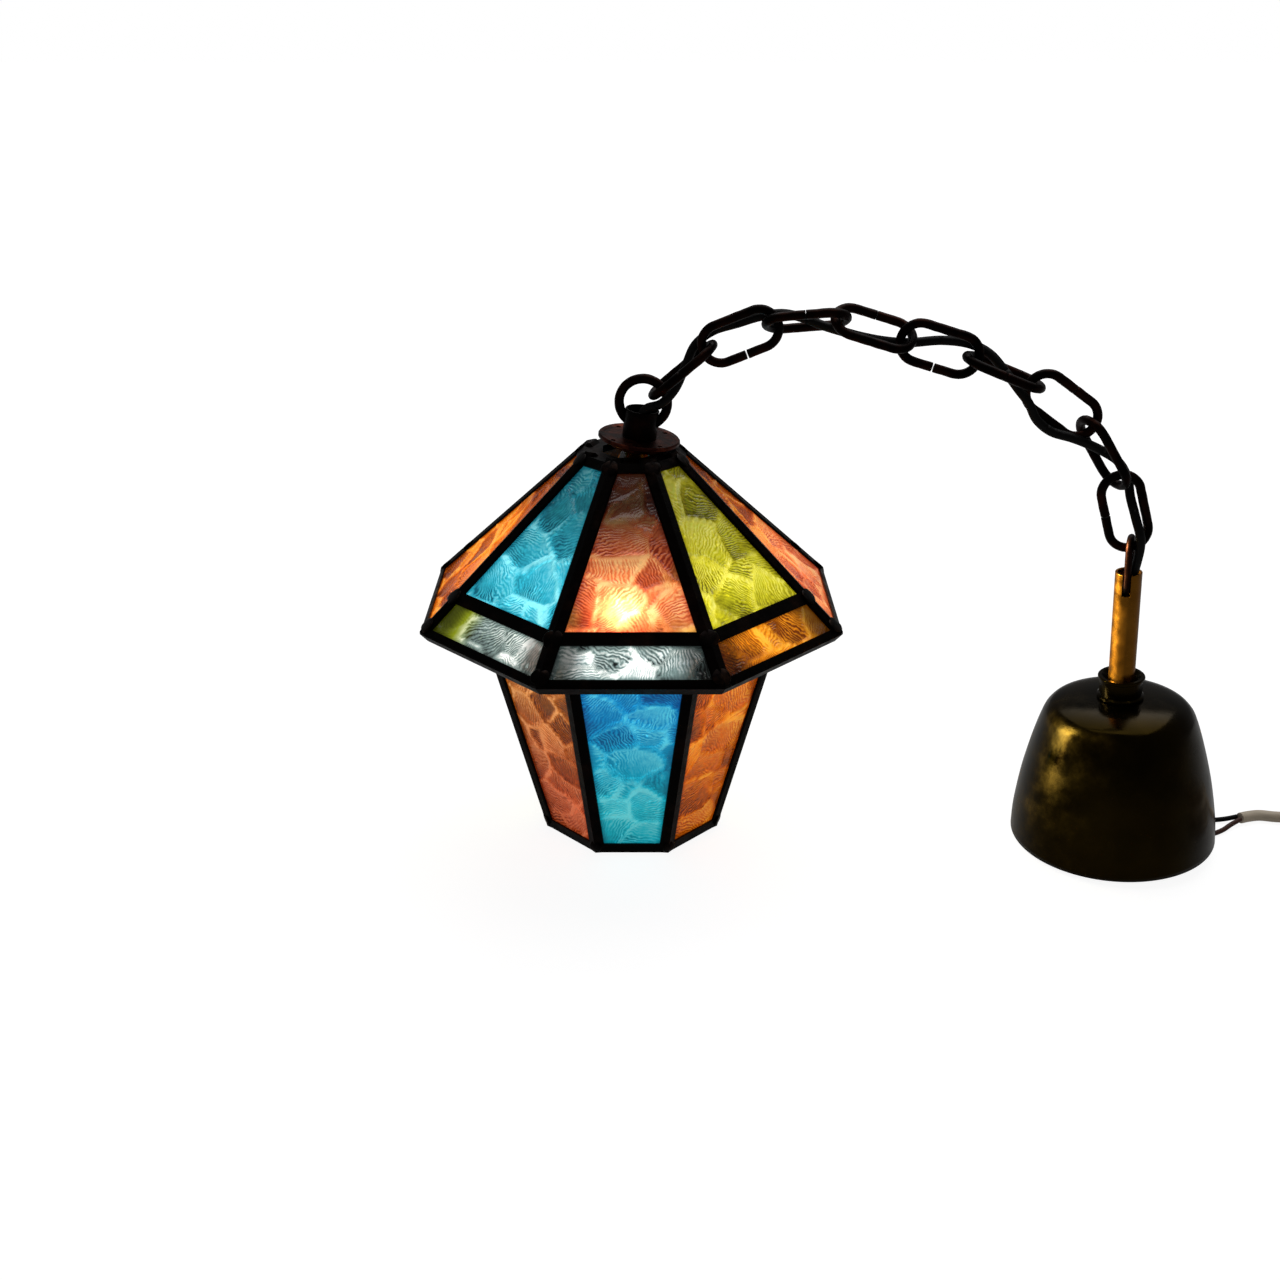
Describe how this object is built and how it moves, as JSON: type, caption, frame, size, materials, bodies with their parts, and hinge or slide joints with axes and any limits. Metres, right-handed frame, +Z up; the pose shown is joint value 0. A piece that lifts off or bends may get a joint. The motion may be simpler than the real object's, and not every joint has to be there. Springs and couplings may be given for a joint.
{
  "type": "hanging lantern",
  "caption": "Eight-sided stained-glass pendant lantern in black cames, hung by a wired chain from a slotted tube and a bell-shaped ceiling canopy.",
  "frame": {"origin": "on the surface, under the middle of the object without its supply cord", "axes": "+X runs from the lantern to the canopy, +Y to the back, +Z up"},
  "size_m": [0.4598, 0.1905, 0.2355],
  "materials": {
    "lead_came": "blackened lead came with solder along the joints",
    "glass_orange": "orange hammered cathedral glass",
    "glass_amber": "amber hammered cathedral glass",
    "glass_turquoise": "turquoise hammered cathedral glass",
    "glass_salmon": "salmon hammered cathedral glass",
    "glass_lime": "lime hammered cathedral glass",
    "glass_clear": "clear hammered cathedral glass",
    "glass_blue": "blue hammered cathedral glass",
    "glass_brown": "brown hammered cathedral glass",
    "glass_green": "green hammered cathedral glass",
    "bulb_glass": "frosted bulb glass",
    "aged_copper": "dark reddish copper-brown patina",
    "chain_black": "black with copper-brown wear",
    "brass": "satin brass",
    "dark_bronze": "glossy dark antique bronze",
    "steel": "zinc-plated steel",
    "phenolic": "black phenolic moulding",
    "flex_black": "black flexible insulation",
    "wire_brown": "brown flexible insulation",
    "block_white": "white nylon moulding",
    "cord_beige": "beige-white PVC sheath"
  },
  "bodies": {
    "lantern": {"roof_frame": "lead_came", "body_frame": "lead_came", "roof_pane_front": "glass_salmon", "roof_pane_front_right": "glass_lime", "roof_pane_right": "glass_orange", "roof_pane_back_right": "glass_turquoise", "roof_pane_back": "glass_amber", "roof_pane_back_left": "glass_green", "roof_pane_left": "glass_orange", "roof_pane_front_left": "glass_turquoise", "eave_pane_front": "glass_clear", "eave_pane_front_right": "glass_amber", "eave_pane_back_right": "glass_clear", "eave_pane_back": "glass_orange", "eave_pane_back_left": "glass_clear", "eave_pane_front_left": "glass_clear", "wall_pane_front": "glass_blue", "wall_pane_front_right": "glass_orange", "wall_pane_right": "glass_lime", "wall_pane_back_right": "glass_turquoise", "wall_pane_back": "glass_brown", "wall_pane_back_left": "glass_blue", "wall_pane_left": "glass_lime", "wall_pane_front_left": "glass_brown", "vase_cap": "aged_copper", "hanging_collar": "chain_black", "threaded_nipple": "brass", "clamp_strap": "steel", "lock_nut": "brass", "lampholder_cap": "phenolic", "lampholder_shell": "phenolic", "lampholder_screw_shell": "brass", "chain_flex": "flex_black"},
    "hanging_ring": {"hanging_ring": "chain_black"},
    "chain_link_1": {"chain_link_1": "chain_black"},
    "chain_link_2": {"chain_link_2": "chain_black"},
    "chain_link_3": {"chain_link_3": "chain_black"},
    "chain_link_4": {"chain_link_4": "chain_black"},
    "chain_link_5": {"chain_link_5": "chain_black"},
    "chain_link_6": {"chain_link_6": "chain_black"},
    "chain_link_7": {"chain_link_7": "chain_black"},
    "chain_link_8": {"chain_link_8": "chain_black"},
    "chain_link_9": {"chain_link_9": "chain_black"},
    "tube": {"hook_link": "chain_black", "brass_tube": "brass", "ceiling_eye": "steel", "terminal_block": "block_white", "wire_black": "flex_black", "wire_brown": "wire_brown", "supply_cord": "cord_beige", "cord_coil": "cord_beige", "plug": "cord_beige"},
    "canopy": {"canopy": "dark_bronze", "canopy_collar": "dark_bronze", "grub_screw": "steel"},
    "bulb": {"bulb_base": "brass", "bulb_glass": "bulb_glass"}
  },
  "joints": [
    {"name": "ring_swing", "type": "hinge", "parent": "lantern", "child": "hanging_ring", "pos_m": [-0.08243, -0.0004, 0.18378], "axis": [0.9881, -0.1039, -0.1132], "range_deg": [-20, 20], "deforming": ["chain_flex"]},
    {"name": "link_1_swing", "type": "hinge", "parent": "hanging_ring", "child": "chain_link_1", "pos_m": [-0.0774, -0.00093, 0.19713], "axis": [-0.1045, -0.9945, 0], "range_deg": [-25, 25]},
    {"name": "link_2_swing", "type": "hinge", "parent": "chain_link_1", "child": "chain_link_2", "pos_m": [-0.05723, -0.00305, 0.21574], "axis": [-0.3886, 0.0408, 0.9205], "range_deg": [-25, 25]},
    {"name": "link_3_swing", "type": "hinge", "parent": "chain_link_2", "child": "chain_link_3", "pos_m": [-0.03233, -0.00567, 0.22713], "axis": [0.1425, 0.8558, -0.4973], "range_deg": [-25, 25]},
    {"name": "link_4_swing", "type": "hinge", "parent": "chain_link_3", "child": "chain_link_4", "pos_m": [-0.00515, -0.00853, 0.23091], "axis": [0.2276, 0.8469, 0.4806], "range_deg": [-25, 25]},
    {"name": "link_5_swing", "type": "hinge", "parent": "chain_link_4", "child": "chain_link_5", "pos_m": [0.02105, -0.01128, 0.22336], "axis": [-0.2741, 0.0288, -0.9613], "range_deg": [-25, 25]},
    {"name": "link_6_swing", "type": "hinge", "parent": "chain_link_5", "child": "chain_link_6", "pos_m": [0.04731, -0.01404, 0.216], "axis": [-0.1045, -0.9945, 0], "range_deg": [-25, 25]},
    {"name": "link_7_swing", "type": "hinge", "parent": "chain_link_6", "child": "chain_link_7", "pos_m": [0.07302, -0.01674, 0.2067], "axis": [0.5704, -0.06, 0.8192], "range_deg": [-25, 25]},
    {"name": "link_8_swing", "type": "hinge", "parent": "chain_link_7", "child": "chain_link_8", "pos_m": [0.096, -0.01916, 0.19162], "axis": [0.2578, -0.9384, 0.2302], "range_deg": [-25, 25]},
    {"name": "link_9_swing", "type": "hinge", "parent": "chain_link_8", "child": "chain_link_9", "pos_m": [0.1114, -0.02078, 0.16891], "axis": [-0.9458, 0.0994, -0.309], "range_deg": [-25, 25]},
    {"name": "tube_swing", "type": "hinge", "parent": "chain_link_9", "child": "tube", "pos_m": [0.12045, -0.02173, 0.14222], "axis": [0.406, 0.9136, 0.0216], "range_deg": [-25, 25]},
    {"name": "canopy_slide", "type": "slide", "parent": "tube", "child": "canopy", "axis": [-0.0694, 0.0073, 0.9976], "range_m": [0, 0.035]},
    {"name": "bulb_turn", "type": "hinge", "parent": "lantern", "child": "bulb", "pos_m": [-0.08851, 0.00024, 0.13013], "axis": [0.1126, -0.0118, 0.9936], "continuous": true}
  ]
}
